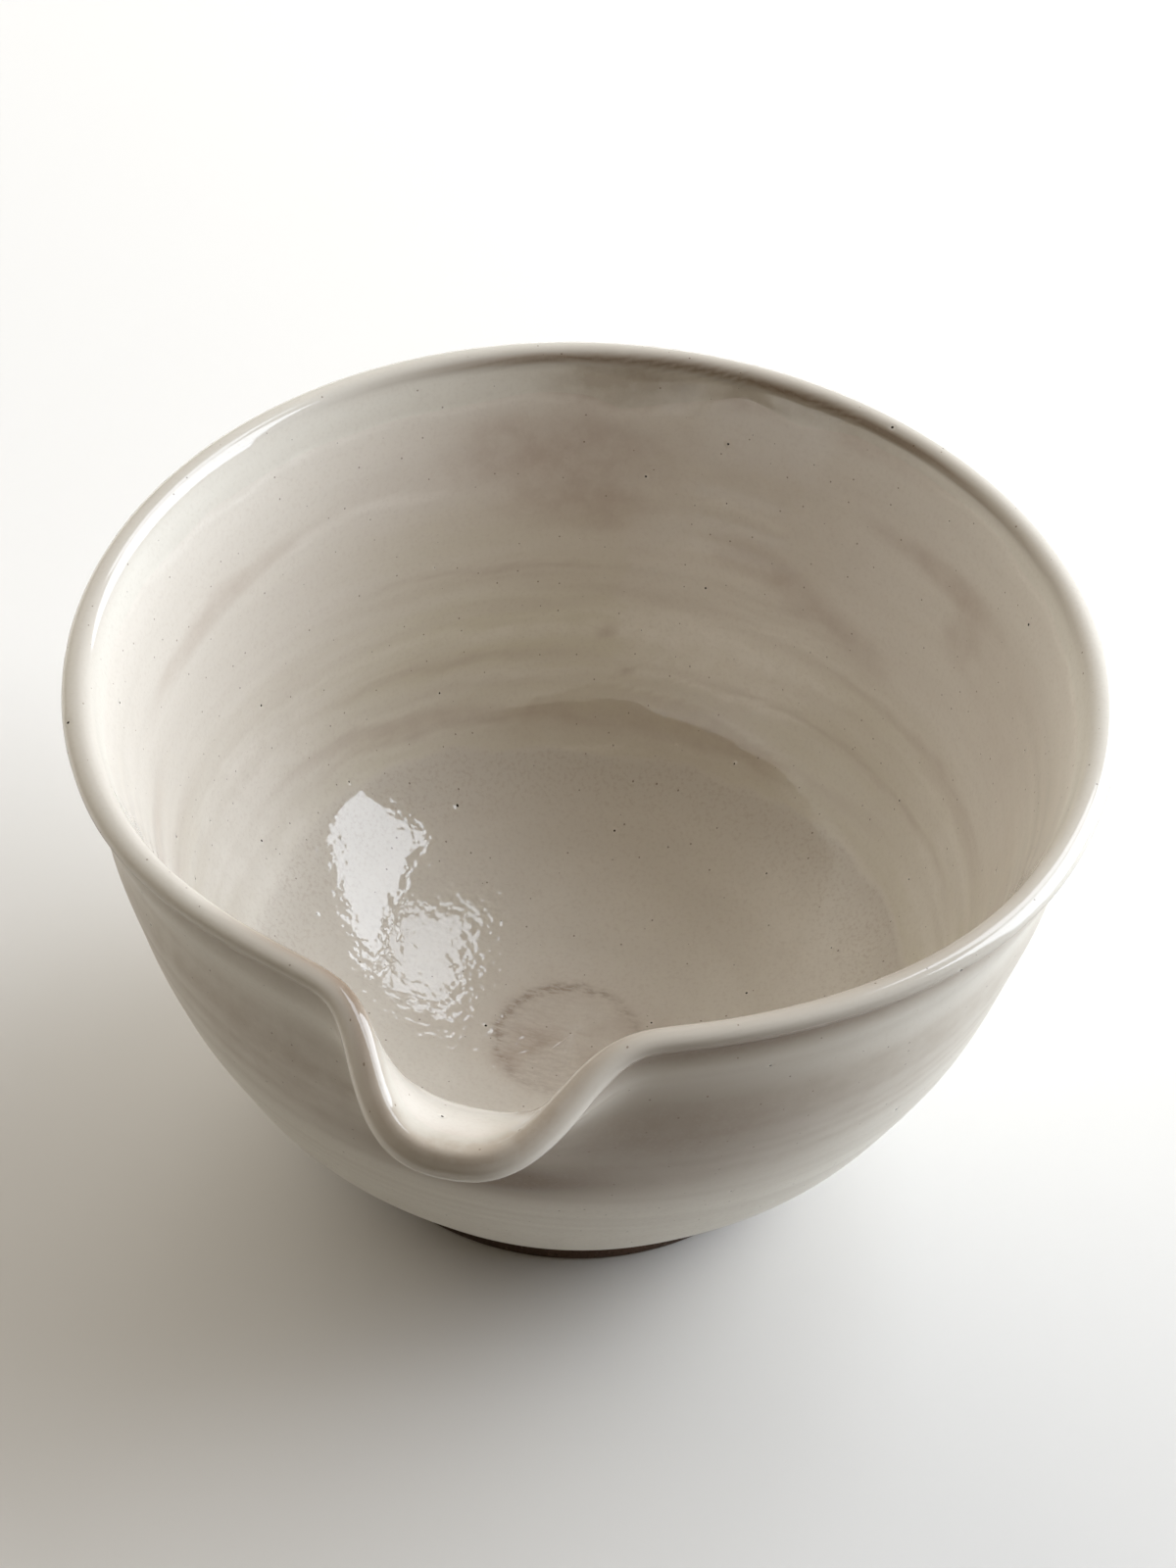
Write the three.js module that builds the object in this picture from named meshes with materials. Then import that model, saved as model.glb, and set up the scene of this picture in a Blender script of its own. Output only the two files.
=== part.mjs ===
// Spouted matcha bowl: thrown in stoneware on a wheel, its spout pulled by hand, glazed in two coats.
// Millimetres, +Z up. The foot ring stands on z = 0 and the spout points towards -Y.
import * as THREE from 'three';

// The bowl as thrown, measured over the glaze
const RIM_RADIUS = 62;
const RIM_HEIGHT = 72.2;
const WALL = 4.2;
const WALL_LEAN_DEGREES = 20.3; // from upright, at the rim
const FLOOR = 3.5; // from the underside to the bottom of the well

// How full the curves of the wall are: the lengths of their handles
const BELLY_HANDLE = 41;
const BELLY_RISE_DEGREES = 50; // where the outside leaves the foot
const SHOULDER_HANDLE = 29.7;
const INSIDE_HANDLE = 35.2;
const WELL_HANDLE = 52.7;

// The soft hollow that a finger left under the lip
const HOLLOW_DEPTH = 1.3;
const HOLLOW_BELOW_RIM = 8.3;
const HOLLOW_HALF_WIDTH = 4.5;

// The turned foot
const FOOT_RADIUS = 32;
const FOOT_HEIGHT = 3;
const FOOT_WIDTH = 6;
const FOOT_BEVEL = 0.7;

// The spout: its lip is pulled out and down while two fingers press the rim in on either side
const SPOUT_HALF_WIDTH = 12;
const SPOUT_REACH = 10.6;
const SPOUT_DROOP = 4.6;
const SPOUT_DEPTH = 22.8; // how far below the rim the pull still shows
const PRESS = 3.1;
const PRESS_DEPTH = 18.7;
const PRESS_REACH_LEFT = 43.3; // along the rim from the spout's middle
const PRESS_REACH_RIGHT = 57.6;
const THROAT_SQUARENESS = 2.7;
const PRESS_SQUARENESS = 4;

// The glaze
const COAT = 0.5;
const SEAT = 0.1; // between touching pieces
const GLAZE_LINE = 0.6; // bare clay left above the foot
const LAP = 7; // how far the dipped coat comes down inside the rim

// Facets, crowded towards the spout
const FACETS = 56;
const CROWDING = 0.6;
const BELLY_STEPS = 7;
const NECK_STEPS = 5;
const RIM_STEPS = 6;
const LAP_STEPS = 2;
const WELL_STEPS = 9;
const NECK = 20; // height of wall under the rim that takes the closer steps

// Section curves: x is the distance from the wheel's axis and y the height
const lean = THREE.MathUtils.degToRad(WALL_LEAN_DEGREES);
const upTheWall = new THREE.Vector2(Math.sin(lean), Math.cos(lean));
const outOfTheWall = new THREE.Vector2(Math.cos(lean), -Math.sin(lean));
const rimCentre = new THREE.Vector2(RIM_RADIUS - WALL / 2, RIM_HEIGHT - WALL / 2);
const wellHeight = FOOT_HEIGHT + FLOOR;

function outsideCurve() {
  const rise = THREE.MathUtils.degToRad(BELLY_RISE_DEGREES);
  const foot = new THREE.Vector2(FOOT_RADIUS + COAT + SEAT, FOOT_HEIGHT + GLAZE_LINE);
  const rim = rimCentre.clone().addScaledVector(outOfTheWall, WALL / 2);
  const belly = new THREE.Vector2(Math.cos(rise), Math.sin(rise)).multiplyScalar(BELLY_HANDLE).add(foot);
  const shoulder = rim.clone().addScaledVector(upTheWall, -SHOULDER_HANDLE);
  return new THREE.CubicBezierCurve(foot, belly, shoulder, rim);
}

function insideCurve() {
  const rim = rimCentre.clone().addScaledVector(outOfTheWall, -WALL / 2);
  const wall = rim.clone().addScaledVector(upTheWall, -INSIDE_HANDLE);
  const well = new THREE.Vector2(WELL_HANDLE, wellHeight);
  return new THREE.CubicBezierCurve(rim, wall, well, new THREE.Vector2(0, wellHeight));
}

const outside = outsideCurve();
const inside = insideCurve();

function outsidePoint(t) {
  const point = outside.getPoint(t);
  const fromHollow = (point.y - (RIM_HEIGHT - HOLLOW_BELOW_RIM)) / HOLLOW_HALF_WIDTH;
  return point.addScaledVector(outOfTheWall, -HOLLOW_DEPTH * Math.exp(-(fromHollow ** 2)));
}

function rimPoint(t) {
  const turn = Math.PI * t - lean;
  return new THREE.Vector2(Math.cos(turn), Math.sin(turn)).multiplyScalar(WALL / 2).add(rimCentre);
}

function insidePoint(t) {
  return inside.getPoint(t);
}

// Where a curve reaches a height
function curveAtHeight(pointAt, height, rising) {
  const halvings = 40;
  let low = 0;
  let high = 1;
  for (let halving = 0; halving < halvings; halving += 1) {
    const middle = (low + high) / 2;
    const below = pointAt(middle).y < height;
    if (below === rising) low = middle;
    else high = middle;
  }
  return low;
}

// Rows of the finished skin, on the way up the outside, over the rim and down the inside.
// A row knows the middle of its wall, the way out of the clay and the way up the wall.
function skinRows(pointAt, from, to, steps, upSign) {
  const nudge = 1e-4;
  return Array.from({ length: steps + 1 }, (_, step) => {
    const t = THREE.MathUtils.lerp(from, to, step / steps);
    const along = pointAt(t + nudge).sub(pointAt(t - nudge)).normalize();
    const out = new THREE.Vector2(along.y, -along.x);
    const middle = pointAt(t).addScaledVector(out, -WALL / 2);
    const up = upSign === 0 ? upTheWall : along.clone().multiplyScalar(upSign);
    return { middle, out, up };
  });
}

const neckOutside = curveAtHeight(outsidePoint, RIM_HEIGHT - NECK, true);
const lapEnd = curveAtHeight(insidePoint, RIM_HEIGHT - LAP, false);
const pourStart = curveAtHeight(insidePoint, RIM_HEIGHT - LAP - SEAT, false);
const neckInside = curveAtHeight(insidePoint, RIM_HEIGHT - NECK, false);

const dippedRows = [
  ...skinRows(outsidePoint, 0, neckOutside, BELLY_STEPS, 1),
  ...skinRows(outsidePoint, neckOutside, 1, NECK_STEPS, 1).slice(1),
  ...skinRows(rimPoint, 0, 1, RIM_STEPS, 0).slice(1),
  ...skinRows(insidePoint, 0, lapEnd, LAP_STEPS, -1).slice(1),
];
const pouredRows = [
  ...skinRows(insidePoint, pourStart, neckInside, NECK_STEPS - LAP_STEPS, -1),
  ...skinRows(insidePoint, neckInside, 1, WELL_STEPS, -1).slice(1),
];

// The spout's pull at an angle from its middle
function throat(angle) {
  const across = Math.abs(angle) * RIM_RADIUS / SPOUT_HALF_WIDTH;
  return Math.exp(-(across ** THROAT_SQUARENESS));
}

function press(angle) {
  const reach = angle < 0 ? PRESS_REACH_LEFT : PRESS_REACH_RIGHT;
  const across = Math.abs(angle) * RIM_RADIUS / reach;
  return Math.exp(-(across ** PRESS_SQUARENESS)) * (1 - throat(angle));
}

function fade(height, depth) {
  return Math.max(0, 1 - (rimCentre.y - height) / depth) ** 2;
}

// How far the middle of the wall is moved: x outwards, y upwards
function pull(height, angle) {
  const spout = throat(angle) * fade(height, SPOUT_DEPTH);
  const inwards = PRESS * press(angle) * fade(height, PRESS_DEPTH);
  return new THREE.Vector2(SPOUT_REACH * spout - inwards, -SPOUT_DROOP * spout);
}

function aroundAxis(angle, radius) {
  return new THREE.Vector3(Math.sin(angle), -Math.cos(angle), 0).multiplyScalar(radius);
}

// A place in the wall, a depth under the finished skin, with the wall bent over by the pull
function inSkin(row, depth, onBack = false) {
  const nudge = 1e-3;
  const { middle, out, up } = row;
  const at = (angle) => {
    const moved = pull(middle.y, angle);
    const steeper = pull(middle.y, angle).sub(pull(middle.y - nudge, angle)).divideScalar(nudge);
    const sideways = pull(middle.y, angle + nudge).sub(pull(middle.y, angle - nudge)).divideScalar(2 * nudge);
    const bent = up.clone().addScaledVector(steeper, up.y);
    const outwards = out.clone().rotateAround(new THREE.Vector2(), bent.angle() - up.angle());
    const radius = middle.x + moved.x;
    const skew = radius > WALL ? Math.atan2(sideways.x, radius) : 0;
    const offset = outwards.multiplyScalar(WALL / 2 - depth);
    const place = aroundAxis(angle, radius).add(aroundAxis(angle - skew, offset.x));
    return place.setZ(middle.y + moved.y + offset.y);
  };
  return { at, onBack };
}

function onWheel(radius, height) {
  return { at: (angle) => aroundAxis(angle, radius).setZ(height), onBack: false };
}

// A solid turned on the wheel: its section runs anticlockwise, and each step gives its place at any angle.
// The back of a coat is split along the same diagonals as the face under it, so that the two stay parallel.
function turned(name, section, material) {
  const places = [];
  const corners = [];
  for (let facet = 0; facet < FACETS; facet += 1) {
    const turn = (2 * facet / FACETS - 1) * Math.PI;
    const angle = turn - CROWDING * Math.sin(turn);
    section.forEach((step) => places.push(step.at(angle)));
    const here = facet * section.length;
    const next = (facet + 1) % FACETS * section.length;
    for (let step = 0; step + 1 < section.length; step += 1) {
      const [a, b, c, d] = [here + step, next + step, next + step + 1, here + step + 1];
      corners.push(...(section[step].onBack ? [a, b, c, a, c, d] : [a, b, d, b, c, d]));
    }
  }
  const geometry = new THREE.BufferGeometry().setFromPoints(places).setIndex(corners);
  geometry.computeVertexNormals();
  const mesh = new THREE.Mesh(geometry, material);
  mesh.name = name;
  return mesh;
}

function claySection() {
  const depth = COAT + SEAT;
  return [
    onWheel(0, FOOT_HEIGHT),
    onWheel(FOOT_RADIUS - FOOT_WIDTH, FOOT_HEIGHT),
    onWheel(FOOT_RADIUS, FOOT_HEIGHT),
    ...dippedRows.map((row) => inSkin(row, depth)),
    ...pouredRows.slice(1).map((row) => inSkin(row, depth)),
  ];
}

function footSection() {
  const inner = FOOT_RADIUS - FOOT_WIDTH;
  const top = FOOT_HEIGHT - SEAT;
  return [
    onWheel(FOOT_RADIUS - FOOT_BEVEL, 0),
    onWheel(FOOT_RADIUS, FOOT_BEVEL),
    onWheel(FOOT_RADIUS, top),
    onWheel(inner, top),
    onWheel(inner, FOOT_BEVEL),
    onWheel(inner + FOOT_BEVEL, 0),
    onWheel(FOOT_RADIUS - FOOT_BEVEL, 0),
  ];
}

function dippedSection() {
  const face = dippedRows.map((row) => inSkin(row, 0));
  const back = dippedRows.map((row) => inSkin(row, COAT, true)).reverse();
  return [...face, ...back, face[0]];
}

function pouredSection() {
  const face = pouredRows.map((row) => inSkin(row, 0));
  const back = pouredRows.map((row) => inSkin(row, COAT, true)).reverse();
  return [...back, ...face];
}

const stoneware = new THREE.MeshStandardMaterial({ color: 0x6f5d4e, roughness: 0.85, metalness: 0 });
const pouredGlaze = new THREE.MeshStandardMaterial({ color: 0xd2cabd, roughness: 0.16, metalness: 0 });
const dippedGlaze = new THREE.MeshStandardMaterial({ color: 0xd9d4ca, roughness: 0.18, metalness: 0 });

const bowl = new THREE.Group();
bowl.add(
  turned('clay_bowl', claySection(), stoneware),
  turned('foot_ring', footSection(), stoneware),
  turned('inner_glaze', pouredSection(), pouredGlaze),
  turned('outer_glaze', dippedSection(), dippedGlaze),
);

// The origin is under the middle of the bowl's outline, spout included
const middle = new THREE.Box3().setFromObject(bowl).getCenter(new THREE.Vector3());
bowl.position.set(-middle.x, -middle.y, 0);

export default bowl;
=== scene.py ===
import math

import bpy
import numpy as np
from mathutils import Matrix, Vector


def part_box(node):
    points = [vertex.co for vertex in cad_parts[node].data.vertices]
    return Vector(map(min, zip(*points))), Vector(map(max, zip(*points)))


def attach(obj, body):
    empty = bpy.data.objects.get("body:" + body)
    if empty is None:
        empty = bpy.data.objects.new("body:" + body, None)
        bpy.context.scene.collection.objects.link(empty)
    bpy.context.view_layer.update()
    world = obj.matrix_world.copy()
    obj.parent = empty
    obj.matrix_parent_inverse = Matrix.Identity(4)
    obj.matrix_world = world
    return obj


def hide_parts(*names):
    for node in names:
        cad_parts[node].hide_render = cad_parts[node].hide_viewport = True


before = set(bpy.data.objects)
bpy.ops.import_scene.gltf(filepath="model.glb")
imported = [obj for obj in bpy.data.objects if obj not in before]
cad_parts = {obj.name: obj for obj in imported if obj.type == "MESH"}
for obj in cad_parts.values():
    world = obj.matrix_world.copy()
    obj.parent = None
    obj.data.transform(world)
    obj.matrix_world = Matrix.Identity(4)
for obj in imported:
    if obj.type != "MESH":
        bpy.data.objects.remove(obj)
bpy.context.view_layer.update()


# The clay bowl. One lump of iron-bearing stoneware, thrown on a wheel into a deep round wall with soft
# finger rings. While it was soft the rim was pressed in at two places and a pouring spout pulled between
# them. It is fired to a matt brown, and shows only under the bowl, where the glaze stops short of the foot.
MM = 0.001
RIM_RADIUS = 62.0
RIM_HEIGHT = 72.2
WALL = 4.2
RIM_SQUARENESS = 2.3
WALL_LEAN = math.radians(20.3)
FLOOR = 3.5
BELLY_HANDLE = 41.0
BELLY_RISE = math.radians(50.0)
SHOULDER_HANDLE = 29.7
INSIDE_HANDLE = 35.2
WELL_HANDLE = 52.7
HOLLOW_DEPTH = 1.3
HOLLOW_BELOW_RIM = 8.3
HOLLOW_HALF_WIDTH = 4.5
FOOT_RADIUS = 32.0
FOOT_HEIGHT = 3.0
FOOT_WIDTH = 6.0
SPOUT_HALF_WIDTH = 12.0
SPOUT_REACH = 10.6
SPOUT_DROOP = 4.6
SPOUT_DEPTH = 22.8
THROAT_SQUARENESS = 2.7
PRESS = 3.1
PRESS_DEPTH = 18.7
PRESS_REACH_LEFT = 43.3
PRESS_REACH_RIGHT = 57.6
PRESS_SQUARENESS = 4
COAT = 0.5
SEAT = 0.1
GLAZE_LINE = 0.6
OUTSIDE_POINTS = 900
LIP_POINTS = 241
INSIDE_POINTS = 1200
NUDGE = 1e-3

foot_low, foot_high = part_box("foot_ring")
wheel_axis = (foot_low + foot_high) / 2 / MM
up_wall = np.array([math.sin(WALL_LEAN), math.cos(WALL_LEAN)])
out_of_wall = np.array([math.cos(WALL_LEAN), -math.sin(WALL_LEAN)])
rim_centre = np.array([RIM_RADIUS - WALL / 2, RIM_HEIGHT - WALL / 2])


def cubic(start, first_handle, second_handle, end, steps):
    """Points along a cubic curve with two handles."""
    t = np.linspace(0, 1, steps)[:, None]
    first_half = start * (1 - t) ** 3 + 3 * first_handle * t * (1 - t) ** 2
    return first_half + 3 * second_handle * t ** 2 * (1 - t) + end * t ** 3


def eased(value, low, high):
    """0 below low, 1 above high, and a soft ramp between them."""
    t = np.clip((value - low) / (high - low), 0, 1)
    return t * t * (3 - 2 * t)


def between(value, start, stop):
    """0 outside two soft ramps and 1 between them. Each ramp is given by its low and its high end."""
    return eased(value, *start) * (1 - eased(value, *stop))


def soft(value, middle, half):
    """1 at a middle, dying away on both sides of it."""
    return np.exp(-((value - middle) / half) ** 2)


def under_lip(points):
    """The hollow that a finger left under the lip, at points of the section."""
    return HOLLOW_DEPTH * soft(points[:, 1], RIM_HEIGHT - HOLLOW_BELOW_RIM, HOLLOW_HALF_WIDTH)


def wall_section():
    """The glazed skin in a cut through the wall: up the outside, over the rim and down into the well."""
    foot = np.array([FOOT_RADIUS + COAT + SEAT, FOOT_HEIGHT + GLAZE_LINE])
    belly = foot + BELLY_HANDLE * np.array([math.cos(BELLY_RISE), math.sin(BELLY_RISE)])
    outer_rim = rim_centre + WALL / 2 * out_of_wall
    outside = cubic(foot, belly, outer_rim - SHOULDER_HANDLE * up_wall, outer_rim, OUTSIDE_POINTS)
    turn = np.linspace(0, math.pi, LIP_POINTS)[:, None]
    square = np.where(turn < math.pi / 2, 2, RIM_SQUARENESS)
    reach = WALL / 2 * (np.abs(np.cos(turn)) ** square + np.sin(turn) ** square) ** (-1 / square)
    lip = rim_centre + reach * (np.cos(turn) * out_of_wall + np.sin(turn) * up_wall)
    inner_rim = rim_centre - WALL / 2 * out_of_wall
    well = np.array([0.0, FOOT_HEIGHT + FLOOR])
    shoulder = inner_rim - INSIDE_HANDLE * up_wall
    inside = cubic(inner_rim, shoulder, well + [WELL_HANDLE, 0], well, INSIDE_POINTS)
    outside = outside - under_lip(outside)[:, None] * out_of_wall
    lip = lip - under_lip(lip)[:, None] * (1 - eased(turn, 0, math.pi / 2 + WALL_LEAN)) * out_of_wall
    points = np.concatenate([outside, lip[1:], inside[1:]])
    length = np.concatenate([[0], np.cumsum(np.linalg.norm(np.diff(points, axis=0), axis=1))])
    crest = np.argmax(points[:, 1])
    tangent = np.gradient(points, length, axis=0)
    tangent /= np.linalg.norm(tangent, axis=1)[:, None]
    out = np.stack([tangent[:, 1], -tangent[:, 0]], 1)
    way = np.repeat([1.0, 0.0, -1.0], [len(outside), len(lip) - 1, len(inside) - 1])[:, None]
    up = np.where(way == 0, up_wall, tangent * way)
    return length - length[crest], points, out, up


section_along, section_points, section_out, section_up = wall_section()
FOOT_END = section_along[0]
WELL_END = section_along[-1]


def throat(angle):
    """How much of the spout's pull there is at an angle from its middle."""
    return np.exp(-(np.abs(angle) * RIM_RADIUS / SPOUT_HALF_WIDTH) ** THROAT_SQUARENESS)


def pressed(angle):
    """How much of the fingers' press there is beside the spout."""
    reach = np.where(angle < 0, PRESS_REACH_LEFT, PRESS_REACH_RIGHT)
    return np.exp(-(np.abs(angle) * RIM_RADIUS / reach) ** PRESS_SQUARENESS) * (1 - throat(angle))


def fade(height, depth):
    """A pull at the rim dies away down the wall."""
    return np.maximum(0, 1 - (rim_centre[1] - height) / depth) ** 2


def pull(height, angle):
    """How far the middle of the wall is moved, outwards and upwards."""
    spout = throat(angle) * fade(height, SPOUT_DEPTH)
    inwards = PRESS * pressed(angle) * fade(height, PRESS_DEPTH)
    return SPOUT_REACH * spout - inwards, -SPOUT_DROOP * spout


def at_section(values, along):
    """A value of the section at mm along it from the rim's crest: the outside below 0, the inside above."""
    return np.interp(along.ravel(), section_along, values).reshape(along.shape)


def unit(x, y):
    """A direction made one long."""
    length = np.hypot(x, y)
    return x / length, y / length


def skin(along, angle, proud):
    """Places on the wall in metres, some mm proud of its plain skin, with the wall bent by the spout."""
    along, angle, proud = np.broadcast_arrays(along, angle, proud)
    out_x, out_y = unit(at_section(section_out[:, 0], along), at_section(section_out[:, 1], along))
    up_x, up_y = unit(at_section(section_up[:, 0], along), at_section(section_up[:, 1], along))
    middle_x = at_section(section_points[:, 0], along) - WALL / 2 * out_x
    middle_y = at_section(section_points[:, 1], along) - WALL / 2 * out_y
    moved_x, moved_y = pull(middle_y, angle)
    lower_x, lower_y = pull(middle_y - NUDGE, angle)
    sideways = (pull(middle_y, angle + NUDGE)[0] - pull(middle_y, angle - NUDGE)[0]) / (2 * NUDGE)
    bent_x = up_x + (moved_x - lower_x) / NUDGE * up_y
    bent_y = up_y + (moved_y - lower_y) / NUDGE * up_y
    tip = np.arctan2(bent_y, bent_x) - np.arctan2(up_y, up_x)
    radius = middle_x + moved_x
    skew = np.where(radius > WALL, np.arctan2(sideways, radius), 0)
    reach = (out_x * np.cos(tip) - out_y * np.sin(tip)) * (WALL / 2 + proud)
    rise = (out_x * np.sin(tip) + out_y * np.cos(tip)) * (WALL / 2 + proud)
    x = np.sin(angle) * radius + np.sin(angle - skew) * reach
    y = -np.cos(angle) * radius - np.cos(angle - skew) * reach
    return np.stack([x + wheel_axis.x, y + wheel_axis.y, middle_y + moved_y + rise], -1) * MM


CLAY_FACETS = 240
CLAY_STEP = 1.6
WELL_POLE = 0.5
SPOUT_CROWDING = 0.4
CHANCE_ROWS = 256
SHARP_EDGE = math.radians(50)


def round_wheel(facets):
    """Angles round the wheel from the back, crowded towards the spout, which is at 0."""
    turn = np.linspace(-math.pi, math.pi, facets, endpoint=False)
    return turn - SPOUT_CROWDING * np.sin(turn)


def uneven(along, angle, lobes, pitch, seed):
    """Soft chance unevenness from -1 to 1, with some lobes round the wheel and a pitch in mm along it."""
    chance = np.random.default_rng(seed).uniform(-1, 1, (lobes, CHANCE_ROWS))
    u = np.mod(angle / (2 * math.pi), 1) * lobes
    v = along / pitch + CHANCE_ROWS // 2
    left = np.floor(u).astype(int)
    lower = np.floor(v).astype(int)
    s = eased(u - left, 0, 1)
    t = eased(v - lower, 0, 1)
    here, right = left % lobes, (left + 1) % lobes
    low, high = lower % CHANCE_ROWS, (lower + 1) % CHANCE_ROWS
    below = chance[here, low] * (1 - s) + chance[right, low] * s
    above = chance[here, high] * (1 - s) + chance[right, high] * s
    return below * (1 - t) + above * t


def layered(along, angle, coarse, fine, share):
    """Coarse unevenness and a share of a finer one, each given by its lobes, pitch and seed."""
    return uneven(along, angle, *coarse) + share * uneven(along, angle, *fine)


def course(angle, knots):
    """A line round the bowl through a few places, each a turn in degrees from the spout and a value."""
    turns, values = zip(*knots)
    return np.interp(np.degrees(angle), turns, values, period=360)


# The marks of throwing. Places are mm along the section from the rim's crest, and turns are from the spout.
RING_WANDER = ((1, 1.1, 0.8), (2, 0.7, 2.1))
INSIDE_RING = 0.07
INSIDE_RINGS = ((5, 3.4, 11), (7, 1.7, 12), 0.5)
INSIDE_RINGS_START = (5, 14)
INSIDE_RINGS_STOP = (46, 56)
OUTSIDE_RING = 0.3
OUTSIDE_RINGS = (3, 8.0, 21)
OUTSIDE_RINGS_SHIFT = 2.2
OUTSIDE_RINGS_START = (9, 15)
LIP_GROOVE = 1.0
LIP_GROOVE_PLACE = -4.7
LIP_GROOVE_HALF_WIDTH = 1.7
LIP_RIDGE = 0.3
LIP_RIDGE_PLACE = -8.8
LIP_RIDGE_HALF_WIDTH = 2.4
FLOOR_COURSE = ((60, 55.0), (100, 55.0), (134, 56.0), (155, 57.8), (173, 58.3), (190, 58.0), (210, 56.5),
                (225, 55.0), (300, 56.5))
FLOOR_EDGE_STEP = 0.06
FLOOR_EDGE_HALF_WIDTH = 1.2
FLOOR_EDGE_START = 36
FLOOR_TURN = 1.4
FLOOR_TURN_PLACE = 50.0
FLOOR_TURN_HALF_WIDTH = 9.0
SWIRL_X = -0.3
SWIRL_Y = -1.8
SWIRL_PITCH = 4.6
SWIRL_DEPTH = 0.05
SWIRL_START = (0.4, 3)
SWIRL_STOP = (8.5, 13.5)


def finger_rings(along, angle):
    """The soft rings that fingers left inside and outside as they raised the wall."""
    wander = along + sum(reach * np.sin(lobes * angle + phase) for lobes, reach, phase in RING_WANDER)
    inside = layered(wander, angle, *INSIDE_RINGS) * between(along, INSIDE_RINGS_START, INSIDE_RINGS_STOP)
    outside = uneven(along - OUTSIDE_RINGS_SHIFT, angle, *OUTSIDE_RINGS)
    return INSIDE_RING * inside + OUTSIDE_RING * outside * eased(-along, *OUTSIDE_RINGS_START)


def swirl_place(along, angle):
    """Distance and angle from the middle of the potter's swirl in the well."""
    radius = at_section(section_points[:, 0], along)
    x = np.sin(angle) * radius - SWIRL_X
    y = -np.cos(angle) * radius - SWIRL_Y
    return np.hypot(x, y), np.arctan2(y, x)


def well_marks(along, angle):
    """The turn from wall to floor, the floor's edge, and the spiral that a finger left in its middle."""
    edge = course(angle, FLOOR_COURSE)
    edge_low, edge_high = edge - FLOOR_EDGE_HALF_WIDTH, edge + FLOOR_EDGE_HALF_WIDTH
    step = FLOOR_EDGE_STEP * between(along, (FLOOR_EDGE_START, edge_low), (edge_low, edge_high))
    turn = FLOOR_TURN * soft(along, FLOOR_TURN_PLACE, FLOOR_TURN_HALF_WIDTH)
    radius, round_swirl = swirl_place(along, angle)
    spiral = SWIRL_DEPTH * np.cos(2 * math.pi * radius / SWIRL_PITCH - round_swirl)
    spiral = spiral * between(radius, SWIRL_START, SWIRL_STOP) * (along > 0)
    return step - turn + spiral


def thrown(along, angle):
    """How far the marks of throwing stand proud of the plain section."""
    along, angle = np.broadcast_arrays(along, angle)
    ridge = LIP_RIDGE * soft(along, LIP_RIDGE_PLACE, LIP_RIDGE_HALF_WIDTH)
    groove = LIP_GROOVE * soft(along, LIP_GROOVE_PLACE, LIP_GROOVE_HALF_WIDTH)
    return finger_rings(along, angle) + ridge - groove + well_marks(along, angle)


def turned_mesh(name, rows, closed):
    """A mesh from rows of places round the wheel. A row of one is a pole. A closed one joins its ends."""
    starts = np.concatenate([[0], np.cumsum([len(row) for row in rows])])
    faces = []
    pairs = [(k, k + 1) for k in range(len(rows) - 1)] + ([(len(rows) - 1, 0)] if closed else [])
    for lower, upper in pairs:
        a = np.arange(len(rows[lower])) + starts[lower]
        b = np.arange(len(rows[upper])) + starts[upper]
        if len(a) == len(b) and len(a) > 1:
            faces += np.stack([a, np.roll(a, -1), np.roll(b, -1), b], 1).tolist()
        elif len(a) > 1:
            faces += [[p, q, b[0]] for p, q in zip(a.tolist(), np.roll(a, -1).tolist())]
        elif len(b) > 1:
            faces += [[a[0], q, p] for p, q in zip(b.tolist(), np.roll(b, -1).tolist())]
    mesh = bpy.data.meshes.new(name)
    mesh.from_pydata(np.concatenate(rows).tolist(), [], faces)
    mesh.shade_smooth()
    mesh.set_sharp_from_angle(angle=SHARP_EDGE)
    piece = bpy.data.objects.new(name, mesh)
    bpy.context.collection.objects.link(piece)
    return piece


def on_wheel(radius, height, angle):
    """A ring of places at a radius and a height in mm."""
    radius, height = np.broadcast_arrays(radius, height, angle)[:2]
    x = np.sin(angle) * radius + wheel_axis.x
    y = -np.cos(angle) * radius + wheel_axis.y
    return np.stack([x, y, height], -1) * MM


# The underside within the foot, hollowed with a turning tool that left a shallow spiral.
UNDERSIDE_STEP = 0.8
UNDERSIDE_HOLLOW = 0.9
TOOL_MARK = 0.09
TOOL_PITCH = 2.4
TOOL_CLEARANCE = 0.5


def clay_rows():
    """The clay from the middle of its underside, up the outside, over the rim and down to the well."""
    angle = round_wheel(CLAY_FACETS)
    inner = FOOT_RADIUS - FOOT_WIDTH
    rows = [on_wheel(0.0, FOOT_HEIGHT + UNDERSIDE_HOLLOW, np.zeros(1))]
    for radius in np.arange(UNDERSIDE_STEP, FOOT_RADIUS, UNDERSIDE_STEP):
        hollow = UNDERSIDE_HOLLOW * max(0.0, 1 - (radius / inner) ** 2)
        tooled = TOOL_MARK * np.cos(2 * math.pi * radius / TOOL_PITCH - angle)
        tooled = tooled * (radius < inner - TOOL_CLEARANCE)
        rows.append(on_wheel(radius, FOOT_HEIGHT + hollow + tooled, angle))
    rows.append(on_wheel(FOOT_RADIUS, FOOT_HEIGHT, angle))
    for along in np.arange(FOOT_END, WELL_END - WELL_POLE, CLAY_STEP):
        rows.append(skin(along, angle, thrown(along, angle) - COAT - SEAT))
    rows.append(skin(np.array([WELL_END]), np.zeros(1), -COAT - SEAT))
    return rows


def fired(red, green, blue):
    """A colour from its 0 to 255 screen values."""
    screen = [value / 255 for value in (red, green, blue)]
    return tuple(v / 12.92 if v <= 0.04045 else ((v + 0.055) / 1.055) ** 2.4 for v in screen) + (1.0,)


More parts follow.
